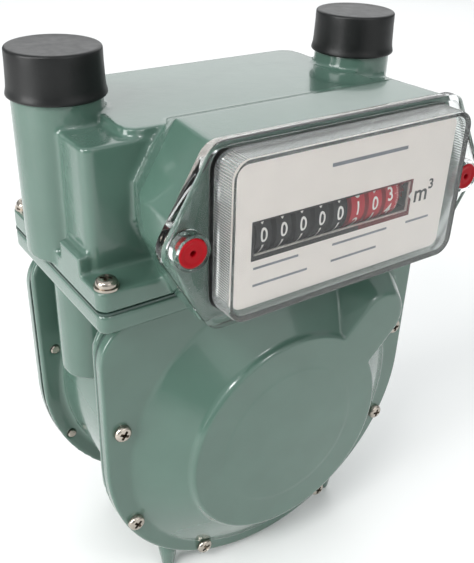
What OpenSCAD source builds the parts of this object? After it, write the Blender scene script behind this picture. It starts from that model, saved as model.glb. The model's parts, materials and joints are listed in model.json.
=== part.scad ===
// Diaphragm gas meter in a die-cast aluminium case, with two top ports, a front index
// and rotary-valve gearing. Millimetres, +Z up, the front faces -Y, X runs to the right.
// The origin is on the ground, in the middle of the footprint.

/* [Ports] */
// Distance between the two port axes
port_pitch = 130; // [128:0.5:131]
// Outer radius of a port neck
port_r = 15.35; // [15.2:0.05:15.5]
// Radius of the bore through a port
port_bore_r = 12.5; // [11:0.1:13]
// Radius over the port thread
thread_r = 14.9; // [14.7:0.05:15]
// Height of a port's top rim above the split plane
port_top = 73.2; // [71:0.1:73.2]

/* [Case] */
// Height of the split plane between the casing and the middle body above the ground
split_z = 149.7; // [149.7:0.1:156]
// Width of the casing flange
flange_w = 150.4; // [150:0.1:151]
// Depth of the casing flange
flange_d = 78.8; // [78:0.1:80]
// Height of the flat top of the casing above the split plane
roof_h = 54.5; // [54:0.1:55]
// Radius of the round lower outline of the covers
cover_r = 74.6; // [74.4:0.1:76.2]
// Distance of the cover outline's centre below the split plane
cover_drop = 73.3; // [73:0.1:73.4]
// Radius of the raised dome on a cover
dome_r = 45.8; // [44:0.1:47]

/* [Index] */
// Number of figure wheels
wheel_count = 8; // [8]
// Distance between neighbouring figure wheels
wheel_pitch = 7.55; // [7.5:0.01:7.6]
// Radius of a figure wheel
wheel_r = 9.5; // [9:0.1:9.6]

/* [Hidden] */
$fn = 64;

FRONT = -1;                          // which side of the middle plane
REAR = 1;
mid_y = 12.6;                        // middle plane of the body, front to back
port_x = port_pitch / 2;
port_y = 20;
gap = 0.4;                           // half the thickness of the casing gasket
flange_t = 8;
wall = 3.5;

// Casing box behind the index
front_wall_y = -13;
back_wall_y = 51.8;
box_x = 71.7;
rear_box_x = 61;
shoulder_h = roof_h - 3;
plateau_x = 56;
ramp_y = -7.5;                       // where the roof starts to rise to the index
ramp_end_y = -25;
index_top = 61;
duct_r = 9;                          // foot of the outlet way, where it crosses the gasket
case_screw_x = 70.6;
case_screw_y = 35;

// Index housing, cover and dial, as depths along Y
housing_y = -48.5;
pocket_y = -30;
chamber_y = -26;
sill_y = -22;                        // front edge of the chamber at flange height
seal_y = -47.5;                      // floor of the groove for the index gasket
rim_back_y = -48.5;
rim_front_y = -52;
window_y = -60.3;
dial_y = -56;
plug_x = 57.6;
plug_z = split_z + 31.3;

// Cover stack, as distances from the middle plane
body_flange_in = 27;
body_flange_out = 30;
cover_flange_in = 31;
cover_flange_out = 34.6;
dome_out = 49.5;
dome_drop = 77.2;
dome_z = split_z - dome_drop;
dome_base = 34.5;
dome_slope = 19.6;
cover_wall = 2.5;
chamber_z = split_z - cover_drop;
drum_r = 66;
chamber_r = 62;
lobe = [44.5, -35.5];                // end of the gas way on a cover
lobe_r = 11.6;
lobe_base_r = 21.1;
cover_top = split_z - 8.4;
corner_r = 16;
cover_holes = [[68, -55], [64.3, -103], [32, -136.5]];
spot_r = 3.9;                        // flat round a cover screw's head
m4_r = 1.95;
m4_hole_r = 2.05;

// Measuring unit
web_in = 17;
web_out = 20;
web_bore_r = 50;
membrane_r = 55;
plate_r = 34;
plate_d = 13;
rod_x = 40;
rod_d = 24;
rod_r = 2;
eye_r = 4.4;
eye_hole_r = 2.8;
eye_z = 73;                          // how far a flag's eye lies below the split plane
clear = 0.05;                        // running clearance of a shaft in its hole

// Valve, crank and gearing, heights above the split plane
seat_top = 5.6;
drive_x = 16.7;
drive_h = 21.07;
bevel_x = 34;
seat_ports = 11.3;
crank_h = 33;
crank_r = 3;
arm_r = 14;
arm_turn = 171;
front_link_h = 39.3;
rear_link_h = 42.2;
link_t = 1.8;
pin_r = 1.5;
module_mm = 0.8;
bevel_r = 5.6;
carry_module = 0.75;

// Figure wheels
axle_y = -45.7;
axle_z = plug_z;
first_wheel_x = -33.2;
drum_w = 5.7;
axle_r = 1.5;
pinion_drop = 10.65;

PAINT = [0.43, 0.55, 0.51];
STEEL = [0.78, 0.77, 0.74];
BRASS = [0.78, 0.64, 0.33];
RUBBER = [0.08, 0.08, 0.08];
ACETAL = [0.9, 0.89, 0.85];
GASKET = [0.25, 0.25, 0.24];

// ---- small helpers -------------------------------------------------------------

module rounded(w, d, r) {
    square([w - 2 * r, d], center = true);
    square([w, d - 2 * r], center = true);
    for (sx = [-1, 1], sy = [-1, 1])
        translate([sx * (w / 2 - r), sy * (d / 2 - r)]) circle(r);
}

// A drawing in X and Z, made solid from y0 to y1
module slab_y(y0, y1) {
    translate([0, y1, 0]) rotate([90, 0, 0]) linear_extrude(y1 - y0) children();
}

module cyl_x(r, x0, x1, y, z) {
    translate([x0, y, z]) rotate([0, 90, 0]) cylinder(r = r, h = x1 - x0);
}

module cyl_y(r, y0, y1, x, z) {
    translate([x, y1, z]) rotate([90, 0, 0]) cylinder(r = r, h = y1 - y0);
}

module cyl_z(r, z0, z1, x, y) {
    translate([x, y, z0]) cylinder(r = r, h = z1 - z0);
}

module block(x0, x1, y0, y1, z0, z1) {
    translate([x0, y0, z0]) cube([x1 - x0, y1 - y0, z1 - z0]);
}

// Puts a measuring unit, drawn with Y as the distance from the middle plane, on its side
module unit(side) {
    translate([0, mid_y, 0]) mirror([0, side == FRONT ? 1 : 0, 0]) children();
}

// Corners of one involute-like tooth: root, pitch and tip on both flanks
function tooth(i, n, m, slack) =
    let (rp = n * m / 2, step = 360 / n, a = i * step,
         ra = rp + 0.8 * m, rr = rp - 1.05 * m,
         half_pitch = step / 4 - slack / rp * 28.65,
         half_tip = half_pitch * 0.45, half_root = min(half_pitch * 1.35, step * 0.46))
    [for (p = [[rr, -half_root], [rp, -half_pitch], [ra, -half_tip],
               [ra, half_tip], [rp, half_pitch], [rr, half_root]])
        [p[0] * cos(a + p[1]), p[0] * sin(a + p[1])]];

module gear(n, m, slack = 0.16) {
    polygon([for (i = [0:n - 1]) each tooth(i, n, m, slack)]);
}

// ---- casing --------------------------------------------------------------------

// Outline of the index cover, smaller by in
module index_outline(in) {
    hull() for (s = [-1, 1]) {
        translate([s * 46, split_z + 55.2]) circle(7 - in, $fn = 32);
        translate([s * 58.6, split_z + 32]) circle(8 - in, $fn = 32);
        translate([s * 45, split_z + 7]) circle(7 - in, $fn = 32);
    }
}

module window_outline(in) {
    translate([0, split_z + 32.5]) rounded(96 - 2 * in, 53 - 2 * in, 6 - in);
}

// Slice of the index housing at depth y
module housing_slice(y, half, top) {
    slab_y(y, y + 0.5) for (s = [-1, 1]) polygon([[0, split_z + 2], [s * (half - 10), split_z + 2],
        [s * half, split_z + 25], [s * half, split_z + 38],
        [s * (half - 13.5), split_z + top], [0, split_z + top]]);
}

module index_housing() {
    hull() {
        housing_slice(housing_y, 61, index_top);
        housing_slice(ramp_end_y, 59, index_top);
    }
    hull() {
        housing_slice(ramp_end_y, 59, index_top);
        housing_slice(ramp_y, 52, roof_h);
    }
}

// Block with rounded upright edges between two depths, standing on the split plane
module case_block(half, y0, y1, height, r) {
    translate([0, (y0 + y1) / 2, split_z + gap]) linear_extrude(height - gap)
        rounded(2 * half, y1 - y0, r);
}

module casing_outside() {
    z = split_z;
    case_block(flange_w / 2, mid_y - flange_d / 2, mid_y + flange_d / 2, flange_t, 3.5);
    case_block(box_x, front_wall_y, port_y, shoulder_h, 4);
    case_block(rear_box_x, front_wall_y, back_wall_y, shoulder_h, 4);
    case_block(plateau_x, front_wall_y + 1, back_wall_y - 1, roof_h, 6);
    index_housing();
    for (s = [-1, 1]) {
        cyl_z(port_r, z + 3, z + 60, s * port_x, port_y);
        cyl_z(thread_r, z + 59.9, z + port_top, s * port_x, port_y);
        block(s * 73.4 - 1.8, s * 73.4 + 1.8, front_wall_y + 1, front_wall_y + 17,
              z + 7, z + 15);
    }
}

module casing_inside() {
    z = split_z;
    difference() {
        union() {
            block(-rear_box_x + wall, rear_box_x - wall, front_wall_y + wall,
                  back_wall_y - wall, z - 1, z + 48);
            block(-box_x + wall, box_x - wall, front_wall_y + wall, port_y - 2,
                  z - 1, z + 48);
        }
        cyl_z(port_r, z - 2, z + 49, port_x, port_y);
    }
    block(-45, 45, sill_y, front_wall_y + wall + 1, z - 1, z + 44);
    block(-45, 45, chamber_y, front_wall_y + wall + 1, z + flange_t, z + 44);
    for (s = [-1, 1]) cyl_z(port_bore_r, z + 47.9, z + port_top + 1, s * port_x, port_y);
    cyl_z(port_bore_r - 0.6, z + 6, z + 48, port_x, port_y);
    cyl_z(duct_r, z - 1, z + 7, port_x, port_y);
    // Pocket that holds the counter
    block(-46, 46, housing_y - 1, pocket_y, z + 8, z + 55);
    slab_y(housing_y - 1, seal_y) window_outline(-0.8);
    cyl_y(4, pocket_y - 1, chamber_y + 1, drive_x, z + drive_h);
}

module upper_casing() color(PAINT) difference() {
    casing_outside();
    casing_inside();
    for (s = [-1, 1]) {
        cyl_y(1.5, housing_y - 1, housing_y + 10, s * plug_x, plug_z);
        for (e = [-1, 1])
            cyl_z(m4_hole_r, split_z - 1, split_z + 20, s * case_screw_x,
                  mid_y + e * case_screw_y);
    }
}

// Flat rim between the two halves of the case
module casing_gasket() color(GASKET)
    translate([0, mid_y, split_z - gap]) linear_extrude(2 * gap) difference() {
        rounded(flange_w, flange_d, 3.5);
        difference() {
            union() {
                translate([0, 5.9]) square([115, 57], center = true);
                translate([0, -26]) square([90, 17], center = true);
            }
            translate([port_x, port_y - mid_y]) circle(port_r);
        }
        translate([port_x, port_y - mid_y]) circle(duct_r);
        for (s = [-1, 1], e = [-1, 1])
            translate([s * case_screw_x, e * case_screw_y]) circle(m4_hole_r);
    }

// ---- middle body ---------------------------------------------------------------

// Outline shared by the covers and the body's flanges: a round foot and square shoulders
module cover_outline(top = cover_top) {
    translate([0, chamber_z]) intersection() {
        circle(cover_r);
        translate([-cover_r, -cover_r]) square([2 * cover_r, cover_r]);
    }
    translate([-cover_r, chamber_z - 0.1])
        square([2 * cover_r, top - corner_r - chamber_z + 0.1]);
    translate([-cover_r + corner_r, chamber_z])
        square([2 * (cover_r - corner_r), top - chamber_z]);
    for (s = [-1, 1]) translate([s * (cover_r - corner_r), top - corner_r]) circle(corner_r);
}

module cover_hole_places() {
    for (p = cover_holes, s = [-1, 1]) translate([s * p[0], split_z + p[1]]) children();
}

module foot_lug() {
    cylinder(r1 = 2.6, r2 = 4.4, h = 12);
    cyl_z(4.4, 11.9, 26, 0, 0);
}

// Everything on one side of the middle plane
module half_body() {
    z = split_z;
    slab_y(body_flange_in, body_flange_out) difference() {
        cover_outline(z - 6);
        translate([0, chamber_z]) circle(chamber_r);
        cover_hole_places() circle(m4_hole_r);
    }
    slab_y(-0.1, body_flange_out - 1) translate([0, chamber_z]) difference() {
        circle(drum_r);
        circle(chamber_r);
    }
    slab_y(-0.1, 1.5) translate([0, chamber_z]) circle(drum_r - 1);
    slab_y(web_in, web_out) translate([0, chamber_z]) difference() {
        circle(drum_r - 1);
        circle(web_bore_r);
    }
    for (s = [-1, 1]) translate([s * 45, 25.6, 0]) foot_lug();
    // Guide and foot bearing of the flag rod
    cyl_z(6, z - 30, z - gap, rod_x, rod_d - 0.5);
    block(rod_x - 5, 61, web_out + 2, rod_d + 4, z - 96, z - 90);
}

module body_solid() {
    z = split_z;
    translate([0, mid_y, z - 8]) linear_extrude(8 - gap) rounded(flange_w, flange_d, 3.5);
    for (side = [FRONT, REAR]) unit(side) half_body();
    // Gas columns below the two ports
    for (s = [-1, 1]) difference() {
        cyl_z(13, z - 52, z - 7, s * 59, port_y);
        cyl_y(chamber_r, -20, 60, 0, chamber_z);
    }
}

module body_holes() {
    z = split_z;
    for (s = [-1, 1], e = [-1, 1])
        cyl_z(m4_hole_r, z - 9, z + 1, s * case_screw_x, mid_y + e * case_screw_y);
    for (side = [FRONT, REAR]) unit(side) {
        // Ways from the valve to the inner chamber and, through a duct, to the outer one
        cyl_z(3.5, z - 18, z + 1, side * seat_ports, seat_ports);
        cyl_z(3.5, z - 7, z + 1, -side * seat_ports, seat_ports);
        block(-side * seat_ports - 2.5, -side * seat_ports + 2.5, seat_ports, rod_d,
              z - 7, z - 3);
        cyl_z(2.5, z - 18, z - 3, -side * seat_ports, rod_d - 1);
        cyl_z(4, z - 14, z + 1, rod_x, rod_d);
        cyl_z(rod_r + clear, z - 33, z, rod_x, rod_d);
        cyl_z(rod_r + clear, z - 95, z - 89, rod_x, rod_d);
    }
    // Outlet way from the middle of the valve seat to the right port
    cyl_z(8.5, z - 6, z + 1, 0, mid_y);
    block(0, port_x, mid_y - 5, mid_y + 5, z - 6, z - 2);
    cyl_z(duct_r, z - 6, z + 1, port_x, port_y);
}

module middle_body() color(PAINT) difference() {
    body_solid();
    body_holes();
}

// ---- covers --------------------------------------------------------------------

// Round form with a sloping side, w inside its outer face
module raised(low_r, high_r, w) {
    k = (low_r - high_r) / (dome_out - dome_base);
    shrink = w * sqrt(1 + k * k);
    rotate([-90, 0, 0]) cylinder(r1 = low_r - shrink, r2 = high_r + k * w - shrink,
                                 h = dome_out - dome_base - w);
}

// Dome with the gas way that reaches to its shoulder on the side s, w inside the outer face
module dome(s, w) {
    to = [s * lobe[0], lobe[1] + dome_drop];
    k = (lobe_base_r - lobe_r) / (dome_out - dome_base);
    narrow = w * sqrt(1 + k * k) + 0.5;
    translate([0, dome_base, dome_z]) {
        raised(dome_r + dome_slope, dome_r, w);
        translate([to[0], 0, to[1]]) raised(lobe_base_r, lobe_r, w);
        rotate([0, -atan2(to[1], to[0]), 0]) rotate([90, 0, 90]) linear_extrude(norm(to))
            polygon([[0, narrow - lobe_base_r], [0, lobe_base_r - narrow],
                     [dome_out - dome_base - w, lobe_r + k * w - narrow],
                     [dome_out - dome_base - w, narrow - lobe_r - k * w]]);
    }
}

module cover_shell(s) difference() {
    union() {
        slab_y(cover_flange_in, cover_flange_out) cover_outline();
        dome(s, 0);
    }
    dome(s, cover_wall);
    slab_y(cover_flange_in - 1, dome_base + 0.01) translate([0, chamber_z]) circle(56.5);
    slab_y(cover_flange_in - 1, cover_flange_out + 1) cover_hole_places() circle(m4_hole_r);
    slab_y(cover_flange_out, cover_flange_out + 6) cover_hole_places() circle(spot_r);
}

module front_cover() color(PAINT) unit(FRONT) cover_shell(1);
module rear_cover() color(PAINT) unit(REAR) cover_shell(-1);

module cover_gasket() color(GASKET) slab_y(body_flange_out, cover_flange_in) difference() {
    cover_outline();
    translate([0, chamber_z]) circle(chamber_r);
    cover_hole_places() circle(m4_hole_r);
}

module front_cover_gasket() unit(FRONT) cover_gasket();
module rear_cover_gasket() unit(REAR) cover_gasket();

// ---- screws --------------------------------------------------------------------

// Pan head screw along +Z with its head above z = 0 and a cross recess
module pan_screw(head_r, head_h, shank_r, length) {
    difference() {
        union() {
            cylinder(r = head_r, h = head_h * 0.55);
            translate([0, 0, head_h * 0.55])
                cylinder(r1 = head_r, r2 = head_r * 0.68, h = head_h * 0.45);
            translate([0, 0, -length]) cylinder(r = shank_r, h = length + 0.1);
        }
        for (a = [0, 90]) rotate([0, 0, a])
            block(-head_r * 0.6, head_r * 0.6, -0.45, 0.45, head_h - 1.2, head_h + 1);
    }
}

module cover_screws() color(STEEL)
    for (p = cover_holes, s = [-1, 1])
        translate([s * p[0], cover_flange_out, split_z + p[1]]) rotate([-90, 0, 0])
            pan_screw(3.4, 2.4, m4_r, 8.4);

module front_cover_screws() unit(FRONT) cover_screws();
module rear_cover_screws() unit(REAR) cover_screws();

module case_screw_places() {
    for (s = [-1, 1], e = [-1, 1])
        translate([s * case_screw_x, mid_y + e * case_screw_y, split_z + flange_t])
            children();
}

module casing_screws() color(STEEL) case_screw_places()
    translate([0, 0, 0.8]) pan_screw(3.6, 2.5, m4_r, 19);

module casing_washers() color(STEEL) case_screw_places() difference() {
    cylinder(r = 4.3, h = 0.8);
    translate([0, 0, -1]) cylinder(r = m4_hole_r, h = 3);
}

// ---- port caps -----------------------------------------------------------------

module port_cap(s) color(RUBBER) translate([s * port_x, port_y, split_z])
    rotate_extrude()
        polygon([[0, 73.5], [thread_r + 0.25, 73.5], [thread_r + 0.25, 61.2],
                 [port_r + 0.25, 60.4], [port_r + 0.25, 59.8], [16.9, 59.8], [16.9, 61.6],
                 [16.3, 62.4], [15.9, 74.7], [15.1, 75.5], [0, 75.5]]);

module inlet_cap() port_cap(-1);
module outlet_cap() port_cap(1);

// ---- index cover ---------------------------------------------------------------

module index_cover() color([0.85, 0.88, 0.87, 0.4]) difference() {
    union() {
        slab_y(rim_back_y - 1.8, rim_back_y) index_outline(0);
        slab_y(rim_front_y, rim_back_y - 1) difference() {
            index_outline(0);
            index_outline(2);
        }
        slab_y(window_y, rim_back_y) window_outline(0);
        for (s = [-1, 1]) cyl_y(6, -54.8, rim_back_y, s * plug_x, plug_z);
    }
    slab_y(window_y + 1.6, rim_back_y + 1) window_outline(1.7);
    for (s = [-1, 1]) {
        cyl_y(1.6, -56, rim_back_y + 1, s * plug_x, plug_z);
        cyl_y(4.9, -56, rim_back_y - 1.4, s * plug_x, plug_z);
    }
}

module index_gasket() color(GASKET) slab_y(rim_back_y, seal_y) difference() {
    window_outline(-0.75);
    window_outline(1.7);
}

module index_screws() color(STEEL) for (s = [-1, 1])
    translate([s * plug_x, rim_back_y - 1.4, plug_z]) rotate([90, 0, 0])
        pan_screw(2.7, 1.6, 1.45, 9);

module seal_plug(s) color([0.75, 0.07, 0.1]) difference() {
    cyl_y(4.8, -55, -51.6, s * plug_x, plug_z);
    cyl_y(0.9, -57, -52.6, s * plug_x, plug_z);
}

module seal_plug_left() seal_plug(-1);
module seal_plug_right() seal_plug(1);

// ---- counter -------------------------------------------------------------------

// Printed face with a skirt that stands on the casing round the counter
module dial_plate() color([0.9, 0.87, 0.84]) difference() {
    slab_y(dial_y, dial_y + 7) translate([0, split_z + 32.5]) rounded(89.6, 48.6, 3.5);
    slab_y(dial_y + 1, dial_y + 8) translate([0, split_z + 32.5]) rounded(87.4, 46.4, 2.4);
    slab_y(dial_y - 1, dial_y + 2) translate([-5.4, axle_z]) square([64, 11], center = true);
}

module counter_frame() color([0.75, 0.76, 0.76]) difference() {
    union() {
        for (x = [-39.6, 41]) block(x, x + 1.2, dial_y + 1, -35, axle_z - 13, axle_z + 13);
        block(-39.6, 42.2, dial_y + 1, dial_y + 2.4, axle_z + 10.5, axle_z + 13);
        block(-39.6, 42.2, dial_y + 1, dial_y + 2.4, axle_z - 13, axle_z - 11);
        block(29, 42, -37.6, -36.4, axle_z - 4, axle_z + 13);
        // Feet that stand on the pocket floor
        for (x = [-39.6, 41], e = [-1, 1])
            block(x, x + 1.2, -35.1, pocket_y, axle_z + e * 11.1 - 1.9, axle_z + e * 11.1 + 1.9);
    }
    cyl_x(axle_r, -50, 50, axle_y, axle_z);
    cyl_x(0.8, -50, 50, axle_y, axle_z - pinion_drop);
    cyl_y(axle_r + clear, -40, -34, bevel_x, axle_z);
}

module wheel_axle() color(STEEL) cyl_x(axle_r, -40.4, 43, axle_y, axle_z);
module pinion_axle() color(STEEL) cyl_x(0.8, -40.4, 43, axle_y, axle_z - pinion_drop);

function wheel_x(i) = first_wheel_x + (i - 1) * wheel_pitch;

// A figure wheel: drum, a gear with 20 teeth on its right and a plain disc on its left
module number_wheel(i) {
    shade = i > 5 ? [0.72, 0.12, 0.16] : [0.12, 0.12, 0.13];
    color(shade) difference() {
        union() {
            cyl_x(wheel_r, wheel_x(i) - drum_w / 2, wheel_x(i) + drum_w / 2, axle_y, axle_z);
            if (i < wheel_count)
                translate([wheel_x(i) + drum_w / 2 - 0.1, axle_y, axle_z])
                    rotate([0, 90, 0]) rotate([0, 0, 9]) linear_extrude(0.9)
                        gear(20, carry_module);
            else
                cyl_x(4, wheel_x(i) + drum_w / 2 - 0.1, bevel_x - bevel_r, axle_y, axle_z);
            if (i > 1)
                cyl_x(6.7, wheel_x(i) - drum_w / 2 - 0.7, wheel_x(i), axle_y, axle_z);
        }
        cyl_x(axle_r + clear, -50, 50, axle_y, axle_z);
    }
    if (i == wheel_count) color(ACETAL) difference() {
        translate([bevel_x - bevel_r, axle_y, axle_z]) rotate([0, 90, 0])
            linear_extrude(2.2, scale = 1 - 2.2 / bevel_r) gear(16, 0.7);
        cyl_x(axle_r + clear, -50, 50, axle_y, axle_z);
    }
}

module number_wheel_1() number_wheel(1);
module number_wheel_2() number_wheel(2);
module number_wheel_3() number_wheel(3);
module number_wheel_4() number_wheel(4);
module number_wheel_5() number_wheel(5);
module number_wheel_6() number_wheel(6);
module number_wheel_7() number_wheel(7);
module number_wheel_8() number_wheel(8);

// Pinion with 8 teeth between wheel i and the next wheel
module carry_pinion(i) color(ACETAL)
    translate([wheel_x(i) + drum_w / 2 + 0.2, axle_y, axle_z - pinion_drop])
        rotate([0, 90, 0]) difference() {
            linear_extrude(1.4) gear(8, carry_module);
            translate([0, 0, -1]) cylinder(r = 0.8 + clear, h = 4);
        }

module carry_pinion_1() carry_pinion(1);
module carry_pinion_2() carry_pinion(2);
module carry_pinion_3() carry_pinion(3);
module carry_pinion_4() carry_pinion(4);
module carry_pinion_5() carry_pinion(5);
module carry_pinion_6() carry_pinion(6);
module carry_pinion_7() carry_pinion(7);

// ---- drive from the valve to the counter ----------------------------------------

module bevel_shaft() {
    color(STEEL) cyl_y(axle_r, -42.6, -30.6, bevel_x, axle_z);
    color(ACETAL) translate([bevel_x, axle_y + bevel_r, axle_z]) rotate([90, 0, 0])
        linear_extrude(2.2, scale = 1 - 2.2 / bevel_r) rotate([0, 0, 11.25]) gear(16, 0.7);
}

// Angle of the line from the drive gear to the change gear
function change_angle() = atan2(plug_z - split_z - drive_h, bevel_x - drive_x);

module change_gear() color(ACETAL)
    translate([bevel_x, -31.4, axle_z]) rotate([90, -change_angle() - 9, 0]) difference() {
        linear_extrude(3) gear(20, module_mm);
        translate([0, 0, -1]) cylinder(r = axle_r, h = 6);
    }

module drive_shaft() color(STEEL)
    cyl_y(axle_r, -35, 40, drive_x, split_z + drive_h);

module drive_gear() color(ACETAL)
    translate([drive_x, -31.4, split_z + drive_h]) rotate([90, -change_angle(), 0]) difference() {
        linear_extrude(3) gear(30, module_mm);
        translate([0, 0, -1]) cylinder(r = axle_r, h = 6);
    }

module worm_wheel() color(ACETAL)
    translate([drive_x, mid_y + 3, split_z + drive_h]) rotate([90, 0, 0]) difference() {
        union() {
            linear_extrude(6) gear(25, module_mm);
            translate([0, 0, -3]) cylinder(r = 4, h = 12);
        }
        translate([0, 0, -5]) cylinder(r = axle_r, h = 16);
    }

module drive_gland() color(BRASS) difference() {
    union() {
        cyl_y(3.98, pocket_y - 0.6, chamber_y + 2, drive_x, split_z + drive_h);
        cyl_y(5.5, chamber_y, chamber_y + 1.5, drive_x, split_z + drive_h);
    }
    cyl_y(axle_r + clear, -50, 0, drive_x, split_z + drive_h);
}

module shaft_bracket() color(ACETAL) difference() {
    union() {
        block(drive_x - 5, drive_x + 5, 37, 39, split_z - gap, split_z + drive_h + 4);
        block(drive_x - 5, drive_x + 5, 37, 46, split_z - gap, split_z + 1.6);
    }
    cyl_y(axle_r + clear, 30, 50, drive_x, split_z + drive_h);
}

// ---- valve and crank -----------------------------------------------------------

module valve_seat() color([0.2, 0.17, 0.15]) translate([0, mid_y, split_z]) difference() {
    translate([0, 0, -gap]) cylinder(r = 24, h = seat_top + gap);
    for (a = [45:90:315]) rotate([0, 0, a])
        translate([16, 0, -1]) cylinder(r = 3.5, h = seat_top + 2);
    for (a = [0:120:240]) rotate([0, 0, a])
        translate([6, 0, -1]) cylinder(r = 2.4, h = seat_top + 2);
    translate([0, 0, 1]) cylinder(r = rod_r, h = seat_top);
}

module valve_post() color(STEEL) cyl_z(rod_r, split_z + 1, split_z + crank_h + 2, 0, mid_y);

// Turning valve cap with one gas way that joins two ports at a time
module rotary_valve() color([0.28, 0.24, 0.2]) translate([0, mid_y, split_z]) difference() {
    union() {
        translate([0, 0, seat_top + 0.05]) cylinder(r = 21, h = 3.4);
        translate([0, 0, seat_top + 1]) cylinder(r = 4.5, h = 9.4);
        translate([0, 9.5, seat_top + 3]) cylinder(r = 8, h = 1.2);
    }
    cylinder(r = rod_r + clear, h = 40);
    translate([0, 9.5, seat_top]) cylinder(r = 6.5, h = 2.6);
}

// Two-start worm, crank disc and crank pin on the valve post
module crank() translate([0, mid_y, split_z]) difference() {
    union() {
        color(ACETAL) translate([0, 0, 16]) cylinder(r = 3.8, h = drive_h - 20.9);
        color(ACETAL) translate([0, 0, drive_h + 4.9]) cylinder(r = 3.8, h = crank_h - drive_h - 4.8);
        color(ACETAL) translate([0, 0, drive_h - 5])
            linear_extrude(10, twist = 720, slices = 24)
                polygon([[-5.7, -1], [-2.4, -3.2], [2.4, -3.2], [5.7, -1],
                         [5.7, 1], [2.4, 3.2], [-2.4, 3.2], [-5.7, 1]]);
        color(STEEL) translate([0, 0, crank_h]) cylinder(r = 7, h = 3);
        color(STEEL) translate([-crank_r, 0, crank_h]) cylinder(r = pin_r, h = 6);
    }
    translate([0, 0, 5]) cylinder(r = rod_r + clear, h = crank_h - 2.9);
}

// ---- diaphragm linkage -----------------------------------------------------------

function arm_tip() = [rod_x + arm_r * cos(arm_turn), rod_d + arm_r * sin(arm_turn)];

// Upright rod with its flag in the measuring chamber and its arm above the valve
module flag_rod(link_h) color(STEEL) {
    z = split_z;
    tip = arm_tip();
    top = z + link_h - 0.4;
    cyl_z(rod_r, z - 94.5, top, rod_x, rod_d);
    difference() {
        union() {
            cyl_z(4, z - eye_z - 7, z - eye_z + 7, rod_x, rod_d);
            block(0, rod_x, rod_d - 0.75, rod_d + 0.75, z - eye_z - 6, z - eye_z + 6);
            cyl_z(eye_r, z - eye_z - 6.5, z - eye_z + 6.5, 0, rod_d);
        }
        cyl_z(eye_hole_r, z - 90, z - 50, 0, rod_d);
    }
    cyl_z(3.5, top - 3.4, top + 0.1, rod_x, rod_d);
    cyl_z(3, top - 3.2, top, tip[0], tip[1]);
    translate([rod_x, rod_d, top - 2.8]) rotate([0, 0, arm_turn])
        block(0, arm_r, -1.6, 1.6, 0, 2.4);
    cyl_z(pin_r, top - 2, z + link_h + link_t, tip[0], tip[1]);
}

module front_flag_rod() unit(FRONT) flag_rod(front_link_h);
module rear_flag_rod() unit(REAR) flag_rod(rear_link_h);

module flag_rod_bushes() color(BRASS) for (side = [FRONT, REAR]) unit(side)
    difference() {
        union() {
            cyl_z(3.98, split_z - 14, split_z + 1, rod_x, rod_d);
            cyl_z(4.9, split_z - gap, split_z + 1, rod_x, rod_d);
        }
        cyl_z(rod_r + clear, split_z - 20, split_z + 5, rod_x, rod_d);
    }

// Bar from a flag rod's arm to above the crank pin
module link(h) {
    from = arm_tip();
    along = [-crank_r, 0] - from;
    color(STEEL) translate([from[0], from[1], split_z + h])
        rotate([0, 0, atan2(along[1], along[0])]) difference() {
            union() {
                cylinder(r = 3, h = link_t);
                translate([norm(along), 0, 0]) cylinder(r = 3.2, h = link_t);
                block(0, norm(along), -1.8, 1.8, 0, link_t);
            }
            translate([0, 0, -1]) cylinder(r = pin_r + clear, h = 4);
            translate([norm(along), 0, -1]) cylinder(r = pin_r + clear, h = 4);
        }
}

module front_link() unit(FRONT) link(front_link_h);
module rear_link() unit(REAR) link(rear_link_h);

// Rubber-coated ring, clamped at its rim, whose rolled fold lets the plate travel
module diaphragm() color([0.16, 0.15, 0.14]) translate([0, plate_d, chamber_z])
    rotate([-90, 0, 0]) rotate_extrude() let (rim = web_out - plate_d)
        polygon([[plate_r + 0.4, -0.6], [40, -3], [45, -3], [49.5, rim], [membrane_r, rim],
                 [membrane_r, rim + 0.8], [49, rim + 0.8], [44.6, -2], [40.4, -2],
                 [plate_r + 0.4, 0.4]]);

module front_diaphragm() unit(FRONT) diaphragm();
module rear_diaphragm() unit(REAR) diaphragm();

// Stiff centre plate with the hinge bracket of its flag
module diaphragm_plate() color([0.82, 0.82, 0.8]) {
    z = split_z - eye_z;
    translate([0, plate_d - 0.5, chamber_z]) rotate([-90, 0, 0]) cylinder(r = plate_r, h = 1);
    for (h = [-9.5, 7.5]) block(-3, 3, plate_d, rod_d + 2.5, z + h, z + h + 2);
    cyl_z(1.2, z - 9.5, z + 9.5, 0, rod_d);
}

module front_diaphragm_plate() unit(FRONT) diaphragm_plate();
module rear_diaphragm_plate() unit(REAR) diaphragm_plate();

module diaphragm_clamp_rings() color(STEEL) for (side = [FRONT, REAR]) unit(side)
    slab_y(web_out + 0.8, web_out + 1.6) translate([0, chamber_z]) difference() {
        circle(membrane_r);
        circle(50.5);
    }

upper_casing();
middle_body();
casing_gasket();
front_cover();
rear_cover();
front_cover_gasket();
rear_cover_gasket();
front_cover_screws();
rear_cover_screws();
casing_screws();
casing_washers();
inlet_cap();
outlet_cap();
index_cover();
index_gasket();
index_screws();
seal_plug_left();
seal_plug_right();
dial_plate();
counter_frame();
wheel_axle();
pinion_axle();
number_wheel_1();
number_wheel_2();
number_wheel_3();
number_wheel_4();
number_wheel_5();
number_wheel_6();
number_wheel_7();
number_wheel_8();
carry_pinion_1();
carry_pinion_2();
carry_pinion_3();
carry_pinion_4();
carry_pinion_5();
carry_pinion_6();
carry_pinion_7();
bevel_shaft();
change_gear();
drive_shaft();
drive_gear();
worm_wheel();
drive_gland();
shaft_bracket();
valve_seat();
valve_post();
rotary_valve();
crank();
front_flag_rod();
rear_flag_rod();
flag_rod_bushes();
front_link();
rear_link();
front_diaphragm();
rear_diaphragm();
front_diaphragm_plate();
rear_diaphragm_plate();
diaphragm_clamp_rings();
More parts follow.
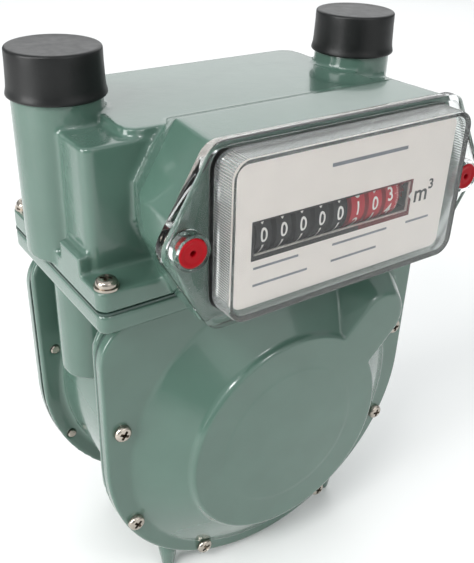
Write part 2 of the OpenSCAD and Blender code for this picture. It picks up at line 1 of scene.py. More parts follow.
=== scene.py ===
"""Looks of a diaphragm gas meter: painted castings, clear index cover, dial and figures.

Lengths are millimetres until mm() turns them into metres. The frame comes from the CAD model.
"""

import json
import math

import bmesh
import bpy
from mathutils import Matrix, Vector


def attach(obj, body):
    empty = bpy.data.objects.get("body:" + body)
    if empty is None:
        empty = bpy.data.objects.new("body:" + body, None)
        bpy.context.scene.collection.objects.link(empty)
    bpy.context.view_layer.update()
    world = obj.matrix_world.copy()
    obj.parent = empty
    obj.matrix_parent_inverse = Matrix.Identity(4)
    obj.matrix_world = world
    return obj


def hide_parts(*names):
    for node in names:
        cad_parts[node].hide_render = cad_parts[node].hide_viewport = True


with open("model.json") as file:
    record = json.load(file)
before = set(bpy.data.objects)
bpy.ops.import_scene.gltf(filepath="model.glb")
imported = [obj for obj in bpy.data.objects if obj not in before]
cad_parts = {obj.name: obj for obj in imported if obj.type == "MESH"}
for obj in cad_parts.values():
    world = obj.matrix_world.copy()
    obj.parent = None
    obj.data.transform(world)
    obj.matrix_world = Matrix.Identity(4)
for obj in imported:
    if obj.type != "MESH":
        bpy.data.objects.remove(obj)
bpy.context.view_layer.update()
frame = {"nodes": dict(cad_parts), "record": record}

MM = 0.001
SPLIT_Z = 149.7  # plane between the casing and the middle body
MID_Y = 12.6  # middle plane of the body, front to back
PORT = (65.0, 20.0)
DRUM_R = 9.5  # figure wheels
AXLE = (-45.7, SPLIT_Z + 31.3)
FIRST_WHEEL_X = -33.2
WHEEL_PITCH = 7.55
READING = "00000103"
DIAL_Y = -56.0
WINDOW = (-37.4, 26.6, SPLIT_Z + 25.8, SPLIT_Z + 36.8)


def mm(*values):
    """A point or size in metres."""
    return Vector([v * MM for v in values])


# ---------------------------------------------------------------- finishes


def shader(name, colour, roughness, **sockets):
    """A new node material with its Principled shader, and that shader."""
    material = bpy.data.materials.new(name)
    material.use_nodes = True
    principled = material.node_tree.nodes["Principled BSDF"]
    principled.inputs["Base Color"].default_value = (*colour, 1)
    principled.inputs["Roughness"].default_value = roughness
    for key, value in sockets.items():
        principled.inputs[key.replace("_", " ")].default_value = value
    return material, principled


def noise(material, scale, detail=2.0):
    """A noise texture in the object's own space. Scale is in cells per metre."""
    nodes, links = material.node_tree.nodes, material.node_tree.links
    place = nodes.new("ShaderNodeTexCoord")
    texture = nodes.new("ShaderNodeTexNoise")
    texture.inputs["Scale"].default_value = scale
    texture.inputs["Detail"].default_value = detail
    links.new(place.outputs["Object"], texture.inputs["Vector"])
    return texture


def tint(material, texture, low, high):
    """Runs the base colour from low to high along a texture."""
    nodes, links = material.node_tree.nodes, material.node_tree.links
    ramp = nodes.new("ShaderNodeValToRGB")
    ramp.color_ramp.elements[0].position = 0.35
    ramp.color_ramp.elements[0].color = (*low, 1)
    ramp.color_ramp.elements[1].position = 0.65
    ramp.color_ramp.elements[1].color = (*high, 1)
    links.new(texture.outputs["Fac"], ramp.inputs["Fac"])
    links.new(ramp.outputs["Color"], nodes["Principled BSDF"].inputs["Base Color"])


def vary_roughness(material, texture, low, high):
    """Runs the roughness from low to high along a texture."""
    nodes, links = material.node_tree.nodes, material.node_tree.links
    span = nodes.new("ShaderNodeMapRange")
    span.inputs["To Min"].default_value = low
    span.inputs["To Max"].default_value = high
    links.new(texture.outputs["Fac"], span.inputs["Value"])
    links.new(span.outputs["Result"], nodes["Principled BSDF"].inputs["Roughness"])


def bump(material, texture, depth):
    """Bump from a texture, depth in millimetres."""
    nodes, links = material.node_tree.nodes, material.node_tree.links
    relief = nodes.new("ShaderNodeBump")
    relief.inputs["Strength"].default_value = 1.0
    relief.inputs["Distance"].default_value = depth * MM
    links.new(texture.outputs["Fac"], relief.inputs["Height"])
    links.new(relief.outputs["Normal"], nodes["Principled BSDF"].inputs["Normal"])


def shades(colour, spread):
    """A darker and a lighter version of a colour."""
    return [tuple(c * k for c in colour) for k in (1 - spread, 1 + spread)]


def finish_of(name, colour, roughness, grain, depth, spread=0.08, **sockets):
    """A finish with fine grain: colour, roughness and bump all vary along it."""
    material, _ = shader(name, colour, roughness, **sockets)
    tint(material, noise(material, grain / 9), *shades(colour, spread))
    vary_roughness(material, noise(material, grain / 3), roughness * 0.8, roughness * 1.25)
    bump(material, noise(material, grain), depth)
    return material


PAINT = (0.066, 0.124, 0.097)
STEEL = (0.62, 0.60, 0.56)

paint = finish_of("case_paint", PAINT, 0.2, 520, 0.03, 0.035,
                  Coat_Weight=0.4, Coat_Roughness=0.05)
rubber = finish_of("cap_rubber", (0.004, 0.0045, 0.0045), 0.38, 900, 0.02, 0.25,
                   Specular_IOR_Level=0.35)
gasket = finish_of("gasket_sheet", (0.028, 0.055, 0.045), 0.45, 1200, 0.04, 0.2)
pale_seal = finish_of("pale_seal", (0.46, 0.47, 0.46), 0.5, 1200, 0.02, 0.06)
bright = finish_of("bright_screw", (0.43, 0.385, 0.335), 0.22, 1500, 0.01, 0.2, Metallic=1.0)
steel = finish_of("plated_steel", STEEL, 0.32, 1100, 0.01, 0.08, Metallic=1.0)
brass = finish_of("brass", (0.6, 0.42, 0.16), 0.3, 900, 0.01, 0.08, Metallic=1.0)
alloy = finish_of("sheet_alloy", (0.68, 0.68, 0.67), 0.36, 900, 0.012, 0.05, Metallic=1.0)
red = finish_of("red_plug", (0.31, 0.001, 0.006), 0.4, 700, 0.02, 0.08,
                Specular_IOR_Level=0.15)
dial_white = finish_of("dial_print", (0.87, 0.79, 0.745), 0.4, 1500, 0.004, 0.015)
dial_black = finish_of("dial_black", (0.016, 0.015, 0.015), 0.5, 1500, 0.004, 0.1,
                       Specular_IOR_Level=0.2)
dial_grey = finish_of("dial_grey", (0.20, 0.21, 0.24), 0.45, 1500, 0.004, 0.1)
dial_red = finish_of("dial_red", (0.12, 0.008, 0.012), 0.5, 1500, 0.004, 0.1,
                     Specular_IOR_Level=0.2)
figure_white = finish_of("figure_white", (0.78, 0.75, 0.72), 0.4, 1500, 0.004, 0.03)
wheel_black = finish_of("wheel_black", (0.010, 0.010, 0.011), 0.5, 900, 0.01, 0.1,
                        Specular_IOR_Level=0.2)
wheel_red = finish_of("wheel_red", (0.46, 0.006, 0.020), 0.5, 900, 0.01, 0.06,
                      Specular_IOR_Level=0.2)
acetal = finish_of("acetal", (0.76, 0.74, 0.68), 0.38, 900, 0.015, 0.03)
resin = finish_of("valve_resin", (0.05, 0.04, 0.035), 0.5, 900, 0.02, 0.12)
cloth = finish_of("diaphragm_cloth", (0.035, 0.032, 0.03), 0.75, 1600, 0.05, 0.15)
clear, _ = shader("clear_cover", (0.97, 0.985, 0.98), 0.03, Transmission_Weight=1.0, IOR=1.34)
bump(clear, noise(clear, 160, 1.0), 0.02)
milky, _ = shader("clear_flutes", (0.93, 0.95, 0.94), 0.12, Transmission_Weight=0.88, IOR=1.38)
vary_roughness(milky, noise(milky, 300), 0.08, 0.2)

FINISHES = {
    "case_paint": paint, "bright_screw": bright, "plated_steel": steel, "gasket": gasket,
    "cap_rubber": rubber, "clear_cover": clear, "red_plug": red, "dial": dial_white,
    "frame_metal": alloy, "wheel_black": wheel_black, "wheel_red": wheel_red,
    "acetal": acetal, "valve_resin": resin, "brass": brass, "diaphragm_cloth": cloth,
    "plate_metal": alloy,
}
for part in frame["record"]["subparts"]:
    node = frame["nodes"][part["node"]]
    node.data.materials.clear()
    node.data.materials.append(FINISHES[part["material_slot"]])
frame["nodes"]["index_gasket"].data.materials[0] = pale_seal


# ---------------------------------------------------------------- mesh tools


def piece(name, mesh, material, body="case", replaces=()):
    """An object in the scene that rides on a body, from a mesh or a bmesh."""
    if isinstance(mesh, bmesh.types.BMesh):
        data = bpy.data.meshes.new(name)
        bmesh.ops.recalc_face_normals(mesh, faces=mesh.faces)
        mesh.to_mesh(data)
        mesh.free()
        mesh = data
    mesh.name = name
    mesh.materials.clear()
    mesh.materials.append(material)
    made = bpy.data.objects.new(name, mesh)
    bpy.context.collection.objects.link(made)
    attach(made, body)
    if replaces:
        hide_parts(*replaces)
    return made


def shade(mesh, angle=40):
    """Smooth shading with sharp edges where faces meet at more than the angle."""
    mesh.polygons.foreach_set("use_smooth", [True] * len(mesh.polygons))
    mesh.set_sharp_from_angle(angle=math.radians(angle))


def bake_modifiers(made):
    """Applies a piece's modifiers to its mesh."""
    graph = bpy.context.evaluated_depsgraph_get()
    mesh = bpy.data.meshes.new_from_object(made.evaluated_get(graph))
    made.modifiers.clear()
    made.data = mesh


def welded(node):
    """A copy of a CAD node's mesh with its faces joined at their edges."""
    copy = bmesh.new()
    copy.from_mesh(frame["nodes"][node].data)
    bmesh.ops.remove_doubles(copy, verts=copy.verts, dist=0.002 * MM)
    return copy


def casting(name, node, voxel, passes):
    """A die casting: the CAD solid with every edge rounded off."""
    made = piece(name, welded(node), paint, replaces=[node])
    remesh = made.modifiers.new("remesh", "REMESH")
    remesh.mode = "VOXEL"
    remesh.voxel_size = voxel * MM
    smooth = made.modifiers.new("smooth", "SMOOTH")
    smooth.factor = 0.5
    smooth.iterations = passes
    bake_modifiers(made)
    made.data.materials.clear()
    made.data.materials.append(paint)
    shade(made.data, 60)
    return made


def lathe(profile, segments=96):
    """A closed solid of revolution about Z from (radius, height) pairs, bottom to top."""
    made = bmesh.new()
    rings = []
    for radius, height in profile:
        if radius == 0:
            rings.append([made.verts.new(mm(0, 0, height))] * segments)
            continue
        rings.append([made.verts.new(mm(radius * math.cos(a), radius * math.sin(a), height))
                      for a in (2 * math.pi * i / segments for i in range(segments))])
    for low, high in zip(rings, rings[1:]):
        for i in range(segments):
            corners = [low[i], low[i - 1], high[i - 1], high[i]]
            corners = [v for k, v in enumerate(corners) if v not in corners[:k]]
            if len(corners) > 2:
                made.faces.new(corners)
    return made


def rounded_corner(x, y, radius, start, stop, steps=5):
    """Points of an arc about (x, y), angles in degrees."""
    for k in range(steps + 1):
        a = math.radians(start + (stop - start) * k / steps)
        yield x + radius * math.cos(a), y + radius * math.sin(a)


def facing_front(mesh, x, y, z):
    """Turns a solid built along +Z so that it looks along -Y, at a place."""
    bmesh.ops.transform(mesh, matrix=Matrix.Translation(mm(x, y, z))
                        @ Matrix.Rotation(math.radians(90), 4, "X"), verts=mesh.verts)
    return mesh


# ---------------------------------------------------------------- castings

casting("casing_cast", "upper_casing", 0.8, 7)
casting("body_cast", "middle_body", 0.9, 6)

COVER_R = 74.6
COVER_CENTRE = SPLIT_Z - 73.3
COVER_TOP = SPLIT_Z - 8.4
COVER_CORNER = 16.0
FLANGE_D = (31.0, 34.6)  # distances from the middle plane
FACE_D = 49.5
DOME_Z = SPLIT_Z - 77.2
DOME_R = 45.8
SHOULDER = (1.7, 2.9)  # width and depth of the step round the dome's face
DOME_SLOPE = 19.6
DUCT = ((30.0, SPLIT_Z - 50), (44.5, SPLIT_Z - 35.5))  # gas way on the right of the dome
DUCT_R = 11.6
DUCT_SLOPE = 9.8
STEP = (31.0, 0.13)  # radius and depth of the shallow step on the dome's face
COVER_HOLES = [(68, -55), (64.3, -103), (32, -136.5)]
SPOT_R = 3.7
SPOKES = 448


def outside_cover(x, z):
    """Distance outside the cover's outline, less than 0 inside."""
    if z < COVER_CENTRE:
        return math.hypot(x, z - COVER_CENTRE) - COVER_R
    over_x = abs(x) - COVER_R + COVER_CORNER
    over_z = z - COVER_TOP + COVER_CORNER
    if over_x > 0 and over_z > 0:
        return math.hypot(over_x, over_z) - COVER_CORNER
    return max(over_x, over_z) - COVER_CORNER


def from_duct(x, z):
    """Distance outside the edge of the gas way's top, less than 0 inside."""
    (x0, z0), (x1, z1) = DUCT
    along = ((x - x0) * (x1 - x0) + (z - z0) * (z1 - z0)) / math.hypot(x1 - x0, z1 - z0) ** 2
    along = min(max(along, 0), 1)
    return math.hypot(x - x0 - along * (x1 - x0), z - z0 - along * (z1 - z0)) - DUCT_R


def smooth_step(value):
    t = min(max(value, 0), 1)
    return t * t * (3 - 2 * t)


def blend_max(a, b, width):
    """The larger of two heights, with a rounded change from one to the other."""
    h = min(max(0.5 + (a - b) / (2 * width), 0), 1)
    return b + (a - b) * h + width * h * (1 - h)


def dome_height(beyond):
    """Height above the flange at a distance outside the edge of the dome's face."""
    rise = FACE_D - FLANGE_D[1]
    width, depth = SHOULDER
    edge = rise - depth * smooth_step((beyond + 0.4) / (width + 0.4))
    slope = (rise - depth) * (DOME_SLOPE - beyond) / (DOME_SLOPE - width)
    return blend_max(0, edge if beyond < width else slope, 0.5)


def duct_height(beyond):
    """Height above the flange at a distance outside the edge of the gas way."""
    rise = FACE_D - FLANGE_D[1]
    slope = rise * (1 - beyond / DUCT_SLOPE)
    return blend_max(0, -blend_max(-rise, -slope, 1.2), 0.5)


def cover_height(x, z):
    """Distance of the cover's face from the middle plane."""
    radius = math.hypot(x, z - DOME_Z)
    dome, duct = dome_height(radius - DOME_R), duct_height(from_duct(x, z))
    top = max(dome, duct) / (FACE_D - FLANGE_D[1])
    height = blend_max(dome, duct, 0.25 + 0.9 * top ** 3)
    height = min(height, FACE_D - FLANGE_D[1])
    height -= STEP[1] * smooth_step((radius - STEP[0]) / 1.6) * smooth_step((DOME_R - radius) / 8)
    for hole_x, hole_z in COVER_HOLES:
        for side in (-1, 1):
            away = math.hypot(x - side * hole_x, z - SPLIT_Z - hole_z) - SPOT_R
            height = min(height, 1.6 * max(away, 0))
    return FLANGE_D[1] + height


def cover_rim(angle):
    """Distance from the dome's centre to the cover's outline."""
    near, far = 0.0, 130.0
    for _ in range(40):
        middle = (near + far) / 2
        inside = outside_cover(middle * math.cos(angle), DOME_Z + middle * math.sin(angle)) < 0
        near, far = (middle, far) if inside else (near, middle)
    return near


def cover_rings(rim):
    """Radii from the dome's centre out to the rim, closest together at the dome's edge."""
    coarse = [3.7 * k for k in range(1, 9)]
    fine = [30.2 + 0.65 * k for k in range(32)]
    last = fine[-1]
    return coarse + fine + [last + (rim - 1.0 - last) * k / 34 for k in range(1, 35)]


def cover_rows():
    """One row of (x, z, depth) points per spoke, from the dome's centre to the rim."""
    rows = []
    for i in range(SPOKES):
        angle = 2 * math.pi * i / SPOKES
        across, upward = math.cos(angle), math.sin(angle)
        rim = cover_rim(angle)
        row = [(r * across, DOME_Z + r * upward) for r in cover_rings(rim)]
        row = [(x, z, cover_height(x, z)) for x, z in row]
        edge = ((0.6, 0.08), (0.3, 0.3), (0.08, 0.65), (0, 1.1))
        row += [((rim - inset) * across, DOME_Z + (rim - inset) * upward, FLANGE_D[1] - drop)
                for inset, drop in edge]
        rows.append(row)
    return rows


ROWS = cover_rows()


def cover(name, node, side, lobe):
    """A pressed cover. Side is -1 in front and 1 behind, lobe the side of the gas way."""
    wall = FLANGE_D[1] - FLANGE_D[0]
    made = bmesh.new()
    front, back = [], []
    for row in ROWS:
        front.append([made.verts.new(mm(lobe * x, MID_Y + side * d, z)) for x, z, d in row])
        flat = [(x, z, max(d - wall, FLANGE_D[0])) for x, z, d in row]
        flat = flat[:-4] + flat[-1:]
        back.append([made.verts.new(mm(lobe * x, MID_Y + side * d, z)) for x, z, d in flat])
    tops = [made.verts.new(mm(0, MID_Y + side * d, DOME_Z)) for d in (FACE_D, FACE_D - wall)]
    for i in range(SPOKES):
        for sheet, top in ((front, tops[0]), (back, tops[1])):
            here, there = sheet[i], sheet[i - 1]
            made.faces.new((top, here[0], there[0]))
            for k in range(len(here) - 1):
                made.faces.new((here[k], there[k], there[k + 1], here[k + 1]))
        made.faces.new((front[i][-1], front[i - 1][-1], back[i - 1][-1], back[i][-1]))
    cast = piece(name, made, paint, replaces=[node])
    shade(cast.data, 50)
    return cast


cover("front_cover_cast", "front_cover", -1, 1)
cover("rear_cover_cast", "rear_cover", 1, -1)


# ---------------------------------------------------------------- port caps

CAP_PROFILE = [
    (0, 73.5), (14.9, 73.5), (15.15, 73.2), (15.15, 61.2), (15.6, 60.4), (15.6, 59.8),
    *rounded_corner(16.35, 60.3, 0.5, -90, 0), (16.75, 60.9), (16.6, 61.5), (16.42, 62.2),
    (16.3, 63.2), (16.18, 65), (15.95, 71), *rounded_corner(14.9, 74.5, 1.0, 0, 80),
    (14.2, 75.5), (13.8, 75.42), (9, 75.4), (4, 75.36), (0, 75.35),
]

for side, body in ((-1, "inlet_cap"), (1, "outlet_cap")):
    solid = lathe(CAP_PROFILE, 128)
    bmesh.ops.translate(solid, verts=solid.verts, vec=mm(side * PORT[0], PORT[1], SPLIT_Z))
    cap = piece(body + "_moulding", solid, rubber, body, [body])
    shade(cap.data, 50)


# ---------------------------------------------------------------- screws


def pan_head(radius, height):
    """A domed head on z = 0 with a cross recess."""
    head = lathe([(0, 0), (radius * 0.97, 0), (radius, 0.12),
                  *rounded_corner(radius - height * 0.62, height * 0.38, height * 0.62, 0, 78),
                  (radius * 0.3, height * 1.02), (0, height * 1.03)], 40)
    data = bpy.data.meshes.new("head")
    bmesh.ops.recalc_face_normals(head, faces=head.faces)
    head.to_mesh(data)
    head.free()
    cutter = bmesh.new()
    for turn in (45, 135):
        arm = bmesh.ops.create_cube(cutter, size=1)["verts"]
        for v in arm:
            taper = 1.0 if v.co.z > 0 else 0.62
            v.co = mm(v.co.x * radius * 1.25 * taper, v.co.y * radius * 0.36 * taper,
                      height * (1.25 if v.co.z > 0 else 0.2))
        bmesh.ops.rotate(cutter, verts=arm, matrix=Matrix.Rotation(math.radians(turn), 3, "Z"))
    tool = bpy.data.meshes.new("cross")
    cutter.to_mesh(tool)
    cutter.free()
    objects = [bpy.data.objects.new(m.name, m) for m in (data, tool)]
    for o in objects:
        bpy.context.collection.objects.link(o)
    cut = objects[0].modifiers.new("cut", "BOOLEAN")
    cut.object = objects[1]
    cut.use_self = True
    cut.solver = "EXACT"
    bake_modifiers(objects[0])
    mesh = objects[0].data
    for o in objects:
        bpy.data.objects.remove(o)
    return mesh


def screws(name, node, head, places, shank_r, length, turn):
    """Copies of one screw at places, each turned by the matrix, as one piece."""
    made = bmesh.new()
    for k, place in enumerate(places):
        part = bmesh.new()
        part.from_mesh(head)
        shank = lathe([(0, -length), (shank_r * 0.8, -length), (shank_r, -length + 0.4),
                       (shank_r, 0.05), (0, 0.05)], 24)
        data = bpy.data.meshes.new("shank")
        shank.to_mesh(data)
        shank.free()
        part.from_mesh(data)
        bmesh.ops.transform(
            part, verts=part.verts,
            matrix=Matrix.Translation(place) @ turn.to_4x4()
            @ Matrix.Rotation(math.radians(37 * k + 12), 4, "Z"))
        data = bpy.data.meshes.new("screw")
        part.to_mesh(data)
        part.free()
        made.from_mesh(data)
    group = piece(name, made, bright, replaces=[node])
    shade(group.data, 35)


SHANK_R = 1.95
CORNER_SCREW = (70.6, 35.0, 8.8)  # across, front to back from MID_Y, above SPLIT_Z

cover_head = pan_head(3.4, 2.4)
for side, node in ((-1, "front_cover_screws"), (1, "rear_cover_screws")):
    places = [mm(s * x, MID_Y + side * FLANGE_D[1], SPLIT_Z + z)
              for x, z in COVER_HOLES for s in (-1, 1)]
    screws(node + "_set", node, cover_head, places, SHANK_R, 8.2,
           Matrix.Rotation(math.radians(90 if side < 0 else -90), 3, "X"))
screw_x, screw_y, screw_z = CORNER_SCREW
corner_places = [mm(sx * screw_x, MID_Y + sy * screw_y, SPLIT_Z + screw_z)
                 for sx in (-1, 1) for sy in (-1, 1)]
screws("casing_screws_set", "casing_screws", pan_head(3.7, 2.6), corner_places, SHANK_R, 16.6,
       Matrix.Identity(3))


# ---------------------------------------------------------------- index cover

WINDOW_BOX = (48.0, SPLIT_Z + 6, SPLIT_Z + 59, 6.0)  # half width, low, high, corner radius
FLUTE_PITCH = 0.86
FLUTE_HALF = 0.33  # half the width of a flute at its foot
FLUTE_DEPTHS = (-59.2, -50.5)  # Y of its ends


def bevelled(name, node, width, material):
    """The CAD solid with a narrow bevel on its edges."""
    solid = welded(node)
    bmesh.ops.dissolve_limit(solid, angle_limit=math.radians(1), verts=solid.verts,
                             edges=solid.edges)
    made = piece(name, solid, material, replaces=[node])
    bevel = made.modifiers.new("bevel", "BEVEL")
    bevel.width = width * MM
    bevel.segments = 3
    bevel.limit_method = "ANGLE"
    bevel.angle_limit = math.radians(40)
    bake_modifiers(made)
    made.data.materials.clear()
    made.data.materials.append(material)
    shade(made.data, 35)
    return made


bevelled("index_cover_moulding", "index_cover", 0.5, clear)


def window_path(spacing):
    """Evenly spaced points on the clear box's outline, each with its outward direction."""
    half_x, low, high, radius = WINDOW_BOX
    corners = ((half_x - radius, high - radius, 0), (-half_x + radius, high - radius, 90),
               (-half_x + radius, low + radius, 180), (half_x - radius, low + radius, 270))
    for k, (x, z, start) in enumerate(corners):
        arc = radius * math.pi / 2
        for i in range(round(arc / spacing)):
            a = math.radians(start + 90 * (i + 0.5) / round(arc / spacing))
            yield (x + radius * math.cos(a), z + radius * math.sin(a)), (math.cos(a), math.sin(a))
        next_x, next_z, _ = corners[(k + 1) % 4]
        run = math.hypot(next_x - x, next_z - z)
        a = math.radians(start + 90)
        for i in range(round(run / spacing)):
            along = run * (i + 0.5) / round(run / spacing)
            yield ((x + radius * math.cos(a) - along * math.sin(a),
                    z + radius * math.sin(a) + along * math.cos(a)), (math.cos(a), math.sin(a)))


def flutes():
    """Fine ribs that run in depth along the walls of the clear box."""
    made = bmesh.new()
    for (x, z), (nx, nz) in window_path(FLUTE_PITCH):
        rows = []
        for y in FLUTE_DEPTHS:
            side = [made.verts.new(mm(x - nx * 0.1 + nz * s, y, z - nz * 0.1 - nx * s))
                    for s in (-FLUTE_HALF, FLUTE_HALF)]
            rows.append(side + [made.verts.new(mm(x + nx * 0.26, y, z + nz * 0.26))])
        for a in range(3):
            b = (a + 1) % 3
            made.faces.new((rows[0][a], rows[0][b], rows[1][b], rows[1][a]))
        made.faces.new(rows[0])
        made.faces.new(rows[1])
    piece("index_cover_flutes", made, milky)


flutes()

PLUG_X = 57.6
PLUG_Y = -51.6
PLUG_PROFILE = [
    (0, 0), (4.45, 0), (4.75, 0.35), (4.75, 2.9), *rounded_corner(4.3, 2.95, 0.45, 0, 90),
    (3.6, 3.3), (3.3, 3.15), (2.9, 3.12), (2.0, 3.2), (1.3, 3.24), (1.0, 3.1), (0.9, 2.8),
    (0.85, 1.1), (0, 1.05),
]
for side, node in ((-1, "seal_plug_left"), (1, "seal_plug_right")):
    solid = facing_front(lathe(PLUG_PROFILE, 64), side * PLUG_X, PLUG_Y, AXLE[1])
    plug = piece(node + "_moulding", solid, red, replaces=[node])
    shade(plug.data, 40)


# ---------------------------------------------------------------- dial


def flat_bars(name, bars, y, material):
    """Thin printed areas in X and Z on a plane of the dial: (x0, x1, z0, z1)."""
    made = bmesh.new()
    for x0, x1, z0, z1 in bars:
        corners = ((x0, z0), (x1, z0), (x1, z1), (x0, z1))
        ring = [[made.verts.new(mm(x, depth, z)) for x, z in corners] for depth in (y, y + 0.06)]
        made.faces.new(ring[0])
        made.faces.new(ring[1])
        for k in range(4):
            made.faces.new((ring[0][k], ring[0][k - 1], ring[1][k - 1], ring[1][k]))
    return piece(name, made, material)


PRINT_Y = DIAL_Y - 0.06
left, right, low, high = WINDOW
SPLIT_X = 4.6  # where the border changes from black to red
black_bars = [(left - 1.0, SPLIT_X, high, high + 0.55), (left - 1.0, SPLIT_X, low - 1.7, low),
              (left - 1.0, left, low, high)]
red_bars = [(SPLIT_X, right + 1.2, high, high + 0.55), (SPLIT_X, right + 1.2, low - 1.7, low),
            (right, right + 1.2, low, high)]
flat_bars("dial_border_black", black_bars, PRINT_Y, dial_black)
flat_bars("dial_border_red", red_bars, PRINT_Y, dial_red)
middle = AXLE[1]
steps = [(right - 0.1 + 0.26 * k, 0.1 + 0.28 * k) for k in range(6)]
pointer = [(x, x + 0.26, middle - half, middle + half) for x, half in steps]
flat_bars("dial_pointer", pointer, PRINT_Y - 0.05, figure_white)
row_z = SPLIT_Z + 21
text_rows = [(-9, 23, SPLIT_Z + 48.8, SPLIT_Z + 50.0)]
text_rows += [(-37.4, -20 + 4 * k, row_z - 6 * k, row_z + 0.8 - 6 * k) for k in range(2)]
text_rows += [(-6, 18 - 4 * k, row_z - 6 * k, row_z + 0.8 - 6 * k) for k in range(2)]
text_rows += [(27, 38, row_z, row_z + 0.8)]
flat_bars("dial_lines", text_rows, PRINT_Y, dial_grey)


def letters(text, height, bold):
    """Plain figures or letters as a flat mesh, centred, in millimetres on X and Y."""
    curve = bpy.data.curves.new("text", "FONT")
    curve.body = text
    curve.align_x = "CENTER"
    curve.align_y = "CENTER"
    curve.size = height * 1.38
    curve.resolution_u = 4
    curve.offset = bold
    maker = bpy.data.objects.new("text", curve)
    bpy.context.collection.objects.link(maker)
    graph = bpy.context.evaluated_depsgraph_get()
    mesh = bpy.data.meshes.new_from_object(maker.evaluated_get(graph))
    bpy.data.objects.remove(maker)
    flat = bmesh.new()
    flat.from_mesh(mesh)
    bmesh.ops.remove_doubles(flat, verts=flat.verts, dist=0.01)
    return flat


def printed(name, text, height, x, z):
    """Black print on the dial, centred at x and z."""
    flat = letters(text, height, 0.14)
    for v in flat.verts:
        v.co = mm(x + v.co.x, PRINT_Y, z + v.co.y)
    return piece(name, flat, dial_black)


printed("dial_unit", "m", 6.4, 32.4, SPLIT_Z + 31.0)
printed("dial_unit_power", "3", 3.6, 36.9, SPLIT_Z + 33.6)

BARREL_R = DRUM_R + 0.04
FIGURE_H = 4.9
FIGURE_BOLD = 0.11
FIGURE_SLICES = 12
FIGURE_REACH = 2.7  # the slices span this far above and below a figure's middle
FIGURE_SQUEEZE = 0.82  # width against the font's own
LAST_TURN = 0.2  # the last wheel's print is turned this far past its figure
LAST_SHIFT = 0.8  # its figures leave room for the ticks
TICKS = 100
TICK_HALF = 0.07


def on_drum(x, height, turn):
    """Point on a figure wheel's rim, turn and height measured upward from the front."""
    angle = turn + height / BARREL_R
    return mm(x, AXLE[0] - BARREL_R * math.cos(angle), AXLE[1] + BARREL_R * math.sin(angle))


def figure_mesh(figure):
    """A figure cut into thin slices, so that it can follow the drum."""
    flat = letters(str(figure), FIGURE_H, FIGURE_BOLD)
    for k in range(1, FIGURE_SLICES):
        level = FIGURE_REACH - 2 * FIGURE_REACH * k / FIGURE_SLICES
        bmesh.ops.bisect_plane(flat, geom=flat.verts[:] + flat.edges[:] + flat.faces[:],
                               plane_co=(0, level, 0), plane_no=(0, 1, 0))
    bmesh.ops.triangulate(flat, faces=flat.faces)
    data = bpy.data.meshes.new("figure")
    flat.to_mesh(data)
    flat.free()
    return data


FIGURES = [figure_mesh(k) for k in range(10)]


def wheel_figures(i):
    """The ten figures round wheel i, with the reading's figure in front at rest."""
    made = bmesh.new()
    last = i == len(READING) - 1
    extra, shift = (LAST_TURN, LAST_SHIFT) if last else (0, 0)
    x = FIRST_WHEEL_X + i * WHEEL_PITCH
    for figure in range(10):
        flat = bmesh.new()
        flat.from_mesh(FIGURES[figure])
        turn = math.radians(36 * (int(READING[i]) - figure)) + extra
        for v in flat.verts:
            v.co = on_drum(x + v.co.x * FIGURE_SQUEEZE - shift, v.co.y, turn)
        data = bpy.data.meshes.new("figure")
        flat.to_mesh(data)
        flat.free()
        made.from_mesh(data)
    for k in range(TICKS if last else 0):
        turn = 2 * math.pi * k / TICKS + extra
        start = x + (1.1 if k % 10 == 0 else 1.6 if k % 5 == 0 else 2.0)
        stop = x + 2.75
        corners = ((start, -TICK_HALF), (stop, -TICK_HALF), (stop, TICK_HALF), (start, TICK_HALF))
        made.faces.new([made.verts.new(on_drum(*corner, turn)) for corner in corners])
    piece("wheel_%d_figures" % (i + 1), made, figure_white, "wheel_%d" % (i + 1))


for index in range(len(READING)):
    wheel_figures(index)


# ---------------------------------------------------------------- floor, light, camera


def stage_plane():
    floor = bmesh.new()
    bmesh.ops.create_grid(floor, x_segments=1, y_segments=1, size=4)
    data = bpy.data.meshes.new("floor")
    floor.to_mesh(data)
    floor.free()
    ground = bpy.data.objects.new("floor", data)
    material, _ = shader("floor", (0.86, 0.86, 0.85), 0.6)
    vary_roughness(material, noise(material, 40), 0.5, 0.7)
    data.materials.append(material)
    bpy.context.collection.objects.link(ground)
    ground.location = mm(0, 0, -0.05)


def area_light(name, place, target, size, power):
    lamp = bpy.data.lights.new(name, "AREA")
    lamp.shape = "RECTANGLE"
    lamp.size, lamp.size_y = size
    lamp.energy = power
    made = bpy.data.objects.new(name, lamp)
    made.location = place
    made.rotation_mode = "QUATERNION"
    made.rotation_quaternion = (Vector(target) - Vector(place)).to_track_quat("-Z", "Y")
    bpy.context.collection.objects.link(made)


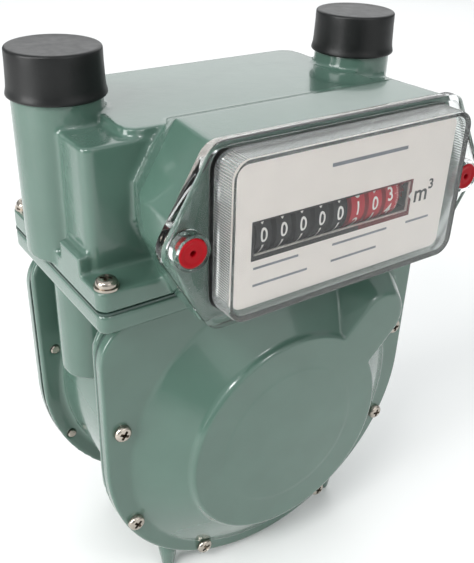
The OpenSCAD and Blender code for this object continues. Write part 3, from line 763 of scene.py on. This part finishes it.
def studio_sky():
    """White behind the object and, as a light, brighter overhead than at the horizon."""
    world = bpy.data.worlds.new("studio")
    bpy.context.scene.world = world
    world.use_nodes = True
    nodes, links = world.node_tree.nodes, world.node_tree.links
    place = nodes.new("ShaderNodeTexCoord")
    split = nodes.new("ShaderNodeSeparateXYZ")
    ramp = nodes.new("ShaderNodeValToRGB")
    ramp.color_ramp.elements[0].position = 0.0
    ramp.color_ramp.elements[0].color = (0.20, 0.21, 0.21, 1)
    ramp.color_ramp.elements[1].position = 0.9
    ramp.color_ramp.elements[1].color = (0.95, 0.98, 1.0, 1)
    links.new(place.outputs["Generated"], split.inputs["Vector"])
    links.new(split.outputs["Z"], ramp.inputs["Fac"])
    seen = nodes.new("ShaderNodeBackground")
    seen.inputs["Color"].default_value = (1, 1, 1, 1)
    mix = nodes.new("ShaderNodeMixShader")
    path = nodes.new("ShaderNodeLightPath")
    links.new(ramp.outputs["Color"], nodes["Background"].inputs["Color"])
    links.new(path.outputs["Is Camera Ray"], mix.inputs["Fac"])
    links.new(nodes["Background"].outputs["Background"], mix.inputs[1])
    links.new(seen.outputs["Background"], mix.inputs[2])
    links.new(mix.outputs["Shader"], nodes["World Output"].inputs["Surface"])


stage_plane()
studio_sky()
TARGET = (0, 0, 0.12)
area_light("softbox", (0.75, 1.05, 0.87), TARGET, (1.7, 1.2), 6.5)
area_light("key", (-0.75, -0.35, 0.95), TARGET, (0.32, 0.14), 4.0)
area_light("glint", (0.1, -0.75, 0.85), TARGET, (0.18, 0.1), 1.0)
area_light("side", (-1.1, 0.0, 0.5), TARGET, (0.6, 0.7), 11)
area_light("front", (0.25, -1.25, 0.55), TARGET, (1.2, 0.9), 3.2)

AZIMUTH, ELEVATION, ROLL = (math.radians(a) for a in (-35.24, 30.19, 2.02))
CAMERA_PLACE = mm(-159.85, -221.63, 286.0)
FOCAL_LENGTH = 49.38

aim = Vector((-math.sin(AZIMUTH) * math.cos(ELEVATION), math.cos(AZIMUTH) * math.cos(ELEVATION),
              -math.sin(ELEVATION)))
right_hand = Vector((math.cos(AZIMUTH), math.sin(AZIMUTH), 0))
up = right_hand.cross(aim)
across = math.cos(ROLL) * right_hand + math.sin(ROLL) * up
upright = math.cos(ROLL) * up - math.sin(ROLL) * right_hand
camera = bpy.data.objects.new("camera", bpy.data.cameras.new("camera"))
bpy.context.collection.objects.link(camera)
camera.data.lens = FOCAL_LENGTH
camera.data.clip_start = 0.01
camera.rotation_mode = "QUATERNION"
camera.rotation_quaternion = Matrix((across, upright, -aim)).transposed().to_quaternion()
camera.location = CAMERA_PLACE
bpy.context.scene.camera = camera
bpy.context.scene.view_settings.view_transform = "Standard"
